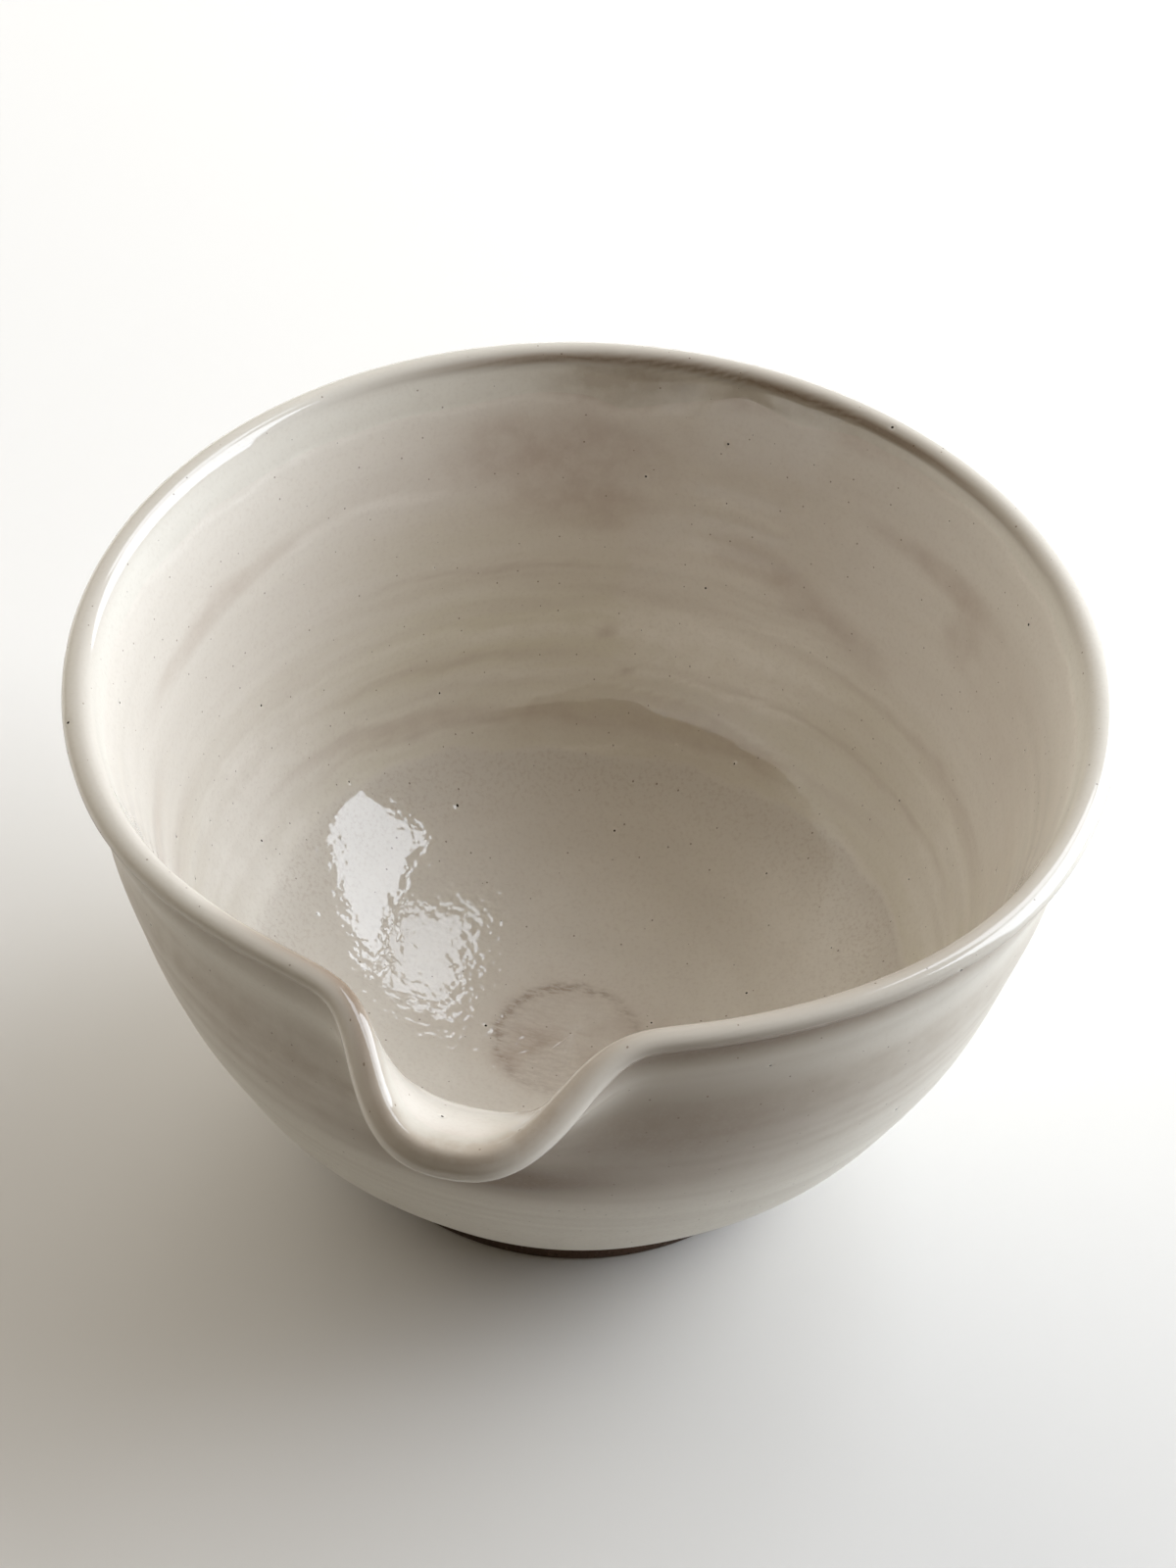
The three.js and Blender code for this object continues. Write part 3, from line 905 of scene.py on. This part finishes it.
def milky_glaze(name, plain, milk, thin_and_shade, bare_and_shade):
    """The milky glaze: streaks along the rings, blushes where it is thin, specks, pinholes and a gloss, with
    painted shade and light laid on by the kept tones.
    """
    material, tree, shader = new_finish(name)
    place = brushed(tree, "ShaderNodeTexCoord").outputs["Object"]
    flat = brushed(tree, "ShaderNodeUVMap", uv_map="skin").outputs[0]
    wheel, (_, _, along) = kept_on_skin(tree, "wheel")
    _, (blush, thick_and_painted_light, ochre) = kept_on_skin(tree, "tone")
    _, (wear_and_shade, pool, ripple) = kept_on_skin(tree, "lay")

    streaks = noise(tree, stretched(tree, wheel, RING_STREAK_STRETCH), *RING_STREAKS)
    breaks = ramp(tree, noise(tree, place, *BREAKS), *BREAK_SPREAD)
    wisps = ramp(tree, noise(tree, stretched(tree, place, WISP_STRETCH), *WISPS), *WISP_SPREAD)
    colour = over(tree, ramp(tree, streaks, *DEEP_STREAKS), plain, GLAZE_DEEP)
    ochre_streaks = sums(tree, "MULTIPLY", ochre, ramp(tree, streaks, *OCHRE_STREAKS))
    colour = over(tree, ochre_streaks, colour, GLAZE_OCHRE)
    colour = over(tree, pool, colour, GLAZE_POOL)
    # Milk goes where the poured glaze is thick, and as painted light low on the left wall inside and on the
    # lower belly outside.
    colour = over(tree, sums(tree, "MULTIPLY", thick_and_painted_light, breaks), colour, milk)
    # Blush goes where the glaze is thin, and on the dipped coat also as painted shade under the lip and on
    # the front.
    colour = over(tree, sums(tree, "MULTIPLY", blush, breaks), colour, thin_and_shade)
    # The bare colour goes where the glaze is worn and where shade is painted.
    wear_and_shade_wisps = sums(tree, "MULTIPLY", wear_and_shade, ramp(tree, pool, *WISP_POOL, wisps))
    colour = over(tree, wear_and_shade_wisps, colour, bare_and_shade)
    grain_most = ramp(tree, pool, *GLAZE_GRAIN_POOL)
    grain = ramp(tree, noise(tree, place, *GLAZE_GRAIN), *GLAZE_GRAIN_SPREAD, grain_most)
    colour = over(tree, grain, colour, thin_and_shade)

    fine, _ = specks(tree, flat, *FINE_SPECKS)
    bold, bold_size = specks(tree, flat, *BOLD_SPECKS)
    present = ramp(tree, bold_size, *BOLD_SPECK_LEAST)
    colour = over(tree, ramp(tree, fine, *FINE_SPECK_EDGE), colour, SPECK_BROWN)
    colour = over(tree, sums(tree, "MULTIPLY", ramp(tree, bold, *HALO_EDGE), present), colour, milk)
    colour = over(tree, ramp(tree, bold, *BOLD_SPECK_EDGE), colour, SPECK_BLACK)
    tree.links.new(colour, shader.inputs["Base Color"])

    tree.links.new(ramp(tree, along, *SATIN_TO_GLOSS), shader.inputs["Roughness"])
    shader.inputs["IOR"].default_value = GLAZE_IOR
    swell = sums(tree, "MULTIPLY", noise(tree, place, *GLAZE_SWELL), ripple)
    pinhole = sums(tree, "MULTIPLY", ramp(tree, bold, *PINHOLE_EDGE), PINHOLE)
    height = sums(tree, "ADD", swell, sums(tree, "MULTIPLY", pinhole, present))
    inputs = {"Height": height, "Strength": 1.0, "Distance": GLAZE_SWELL_DEPTH * MM}
    bump = brushed(tree, "ShaderNodeBump", inputs)
    tree.links.new(bump.outputs[0], shader.inputs["Normal"])
    return material


poured = poured_coat()
poured_finish = milky_glaze("milky_poured_glaze", POURED_PLAIN, POURED_MILK, POURED_BLUSH, POURED_WORN)
poured.data.materials.append(poured_finish)
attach(poured, "root")
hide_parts("inner_glaze")


# The dipped glaze. The bowl was held by its foot and dipped rim first into the same glaze, which ran over
# the rim and a little way down the inside. It draws thin and warm over the rim and the upper wall, wears
# through in the groove under the lip, and stops in an uneven rolled edge above the foot. Its finish also
# carries painted shade in the groove, across the front and under the spout's lip, and painted light low on
# the belly.
DIP_FACETS = 440
DIP_STEP = 0.6
DIP_BACK_STEP = 3.0
DIP_EDGE = 0.4
DIP_WAVE = 0.5
DIP_WAVES = ((14, 1.0, 61), (50, 1.0, 62), 0.4)
ROLLED_EDGE = 0.18
ROLL_PLACE = 1.1
ROLL_HALF_WIDTH = 0.8
ROLL_UNDERCUT = 2.2
ROLL_UNDERCUT_WIDTH = 0.35
LAP_RIDGE = 0.03
LAP_RIDGE_WIDTH = 0.7
# The dipped coat's blush and bare colours also carry painted shade, and its milk painted light.
DIPPED_PLAIN = fired(215, 210, 199)
DIPPED_MILK_AND_LIGHT = fired(229, 225, 214)
DIPPED_BLUSH_AND_SHADE = fired(177, 166, 151)
DIPPED_WORN_AND_SHADE = fired(130, 113, 96)


def dipped_coat():
    """The dipped coat from its edge above the foot, over the rim and down to the lap line."""
    angle = round_wheel(DIP_FACETS)[None, :]
    wave = DIP_WAVE * layered(np.zeros_like(angle), angle, *DIP_WAVES)
    start = np.maximum(FOOT_END + DIP_EDGE + wave, FOOT_END)
    end = lap_line(angle)
    along = spaced(start, end, LAP - FOOT_END, DIP_STEP)
    back_along = spaced(start, end, LAP - FOOT_END, DIP_BACK_STEP)
    roll = soft(along - start, ROLL_PLACE, ROLL_HALF_WIDTH)
    roll = roll - ROLL_UNDERCUT * soft(along - start, 0, ROLL_UNDERCUT_WIDTH)
    ridge = soft(along, end, LAP_RIDGE_WIDTH)
    proud = glaze_face(along, angle) + ROLLED_EDGE * roll + LAP_RIDGE * ridge
    return coat("dipped_glaze", along, back_along, angle, proud, pole=False)


dipped = dipped_coat()
dipped_finish = milky_glaze("milky_dipped_glaze", DIPPED_PLAIN, DIPPED_MILK_AND_LIGHT, DIPPED_BLUSH_AND_SHADE, DIPPED_WORN_AND_SHADE)
dipped.data.materials.append(dipped_finish)
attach(dipped, "root")
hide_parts("outer_glaze")


# The table. A plain pale matt sheet that the bowl stands on, wide enough to fill the picture from any side.
# It throws back on the bowl a light that is dimmer and warmer than its own white. Far from the bowl, past
# the edge of the photograph, it runs out into a pale haze.
TABLE_HALF = 3.0
TABLE_WHITE = fired(218, 215, 210)
TABLE_BOUNCE = fired(184, 179, 171)
TABLE_ROUGHNESS = 0.7
TABLE_SHEEN = 0.2
TABLE_NEAR = 0.36
TABLE_FAR = 0.95
TABLE_HAZE = 1.1


def pale_table():
    """A large flat sheet with a matt white finish."""
    mesh = bpy.data.meshes.new("pale_table")
    corners = [(x * TABLE_HALF, y * TABLE_HALF, 0.0) for x, y in ((-1, -1), (1, -1), (1, 1), (-1, 1))]
    mesh.from_pydata(corners, [], [(0, 1, 2, 3)])
    table = bpy.data.objects.new("pale_table", mesh)
    bpy.context.collection.objects.link(table)
    material, tree, shader = new_finish("matt_white")
    path = brushed(tree, "ShaderNodeLightPath").outputs
    mirrored = sums(tree, "MAXIMUM", path["Is Glossy Ray"], path["Is Transmission Ray"])
    seen = sums(tree, "MAXIMUM", path["Is Camera Ray"], mirrored)
    tree.links.new(over(tree, seen, TABLE_BOUNCE, TABLE_WHITE), shader.inputs["Base Color"])
    shader.inputs["Roughness"].default_value = TABLE_ROUGHNESS
    shader.inputs["Specular IOR Level"].default_value = TABLE_SHEEN
    place = brushed(tree, "ShaderNodeNewGeometry").outputs["Position"]
    from_bowl = brushed(tree, "ShaderNodeVectorMath", {0: place}, operation="LENGTH").outputs["Value"]
    haze = ramp(tree, from_bowl, TABLE_NEAR, TABLE_FAR, 0.0, TABLE_HAZE)
    tree.links.new(sums(tree, "MULTIPLY", haze, path["Is Camera Ray"]), shader.inputs["Emission Strength"])
    shader.inputs["Emission Color"].default_value = TABLE_WHITE
    mesh.materials.append(material)
    return table


pale_table()


# The camera, at the height and turn of the photograph, and tilted a little as it was. Its distance and lens
# were found from the shape of the rim, the wall, the spout and the foot.
CAMERA_TURN = math.radians(10.04)
CAMERA_ELEVATION = math.radians(45.34)
CAMERA_ROLL = math.radians(2.93)
CAMERA_DISTANCE = 426.28
CAMERA_LENS = 81.0
CAMERA_SENSOR = 36.0
CAMERA_NEAREST = 0.01
LOOKED_AT_HEIGHT = 52.47
LOOKED_AT_SIDE = 0.26

picture_right = Vector((math.cos(CAMERA_TURN), math.sin(CAMERA_TURN), 0))
picture_away = Vector((-math.sin(CAMERA_TURN), math.cos(CAMERA_TURN), 0))
bowl_middle = Vector((wheel_axis.x, wheel_axis.y, LOOKED_AT_HEIGHT)) * MM


def photograph_camera():
    """Points the camera at the bowl and turns it about its own axis."""
    back = Vector((0, 0, math.sin(CAMERA_ELEVATION))) - picture_away * math.cos(CAMERA_ELEVATION)
    over_head = back.cross(picture_right)
    right = picture_right * math.cos(CAMERA_ROLL) + over_head * math.sin(CAMERA_ROLL)
    up = over_head * math.cos(CAMERA_ROLL) - picture_right * math.sin(CAMERA_ROLL)
    data = bpy.data.cameras.new("photograph")
    data.lens = CAMERA_LENS
    data.sensor_width = CAMERA_SENSOR
    data.clip_start = CAMERA_NEAREST
    camera = bpy.data.objects.new("photograph", data)
    camera.matrix_world = Matrix((right, up, back)).transposed().to_4x4()
    camera.location = bowl_middle + picture_right * LOOKED_AT_SIDE * MM + back * CAMERA_DISTANCE * MM
    bpy.context.collection.objects.link(camera)
    return camera


bpy.context.scene.camera = photograph_camera()


# The light. A tall window on the right with a roof window above it and a low one beside it, a window at the
# back, and the pale walls on the left and behind, with the room itself as a soft fill.
DAYLIGHT = (0.91, 0.98, 1.08)
WALL_LIGHT = (1.0, 0.985, 0.95)


def window(name, centre, faces, width, height, radiance, colour, mirrored):
    """A window or pale wall as a soft lamp. Its centre in metres and the way it faces are each given to the
    picture's right, away from the camera and up. The glaze mirrors it or not."""
    right, away, up = centre
    back = -(picture_right * faces[0] + picture_away * faces[1] + Vector((0, 0, faces[2]))).normalized()
    level = picture_right if faces[:2] == (0, 0) else Vector((0, 0, 1)).cross(back).normalized()
    data = bpy.data.lights.new(name, "AREA")
    data.shape = "RECTANGLE"
    data.size = width
    data.size_y = height
    data.energy = radiance * math.pi * width * height
    data.color = colour
    lamp = bpy.data.objects.new(name, data)
    lamp.matrix_world = Matrix((level, back.cross(level), back)).transposed().to_4x4()
    lamp.location = picture_right * right + picture_away * away + Vector((0, 0, up))
    lamp.visible_glossy = mirrored
    bpy.context.collection.objects.link(lamp)


window("side_window", centre=(0.9, 0.455, 0.70), faces=(-1, 0, 0), width=1.17, height=1.22,
       radiance=6.6, colour=DAYLIGHT, mirrored=True)
window("roof_window", centre=(0.575, 0.81, 1.31), faces=(0, 0, -1), width=0.46, height=0.71,
       radiance=4.8, colour=DAYLIGHT, mirrored=True)
window("low_window", centre=(0.95, 0.2, 0.085), faces=(-1, 0, 0), width=0.9, height=0.11,
       radiance=10.0, colour=DAYLIGHT, mirrored=False)
window("back_window", centre=(0.44, 1.37, 0.75), faces=(-0.44, -1.37, -0.70), width=1.0, height=0.62,
       radiance=3.4, colour=DAYLIGHT, mirrored=False)
window("bright_wall", centre=(-0.78, 0.99, 1.04), faces=(0.78, -0.99, -0.99), width=2.1, height=1.4,
       radiance=1.75, colour=WALL_LIGHT, mirrored=False)
window("left_wall", centre=(-1.55, -0.14, 0.44), faces=(1.55, 0.14, -0.39), width=1.4, height=0.6,
       radiance=0.5, colour=WALL_LIGHT, mirrored=False)
window("low_wall", centre=(-0.95, 0.52, 0.10), faces=(0.95, -0.52, 0), width=1.0, height=0.18,
       radiance=6.5, colour=WALL_LIGHT, mirrored=False)

ROOM_COLOUR = (1.0, 0.81, 0.55, 1.0)
ROOM_LIGHT = (0.1, 0.6, 0.03, 0.18)
ROOM_WHITE = (1.0, 1.0, 1.0, 1.0)


def pale_room():
    """A warm fill, stronger from above. Seen straight on, the room is white."""
    world = bpy.data.worlds.new("pale_room")
    world.use_nodes = True
    tree = world.node_tree
    fill = tree.nodes["Background"]
    fill.inputs["Color"].default_value = ROOM_COLOUR
    way = brushed(tree, "ShaderNodeTexCoord").outputs["Generated"]
    height = brushed(tree, "ShaderNodeSeparateXYZ", {0: way}).outputs[2]
    tree.links.new(ramp(tree, height, *ROOM_LIGHT), fill.inputs["Strength"])
    white = brushed(tree, "ShaderNodeBackground", {"Color": ROOM_WHITE, "Strength": 1.0})
    seen = brushed(tree, "ShaderNodeLightPath").outputs["Is Camera Ray"]
    both = brushed(tree, "ShaderNodeMixShader", {0: seen, 1: fill.outputs[0], 2: white.outputs[0]})
    tree.links.new(both.outputs[0], tree.nodes["World Output"].inputs["Surface"])
    return world


bpy.context.scene.world = pale_room()
bpy.context.scene.view_settings.view_transform = "Standard"
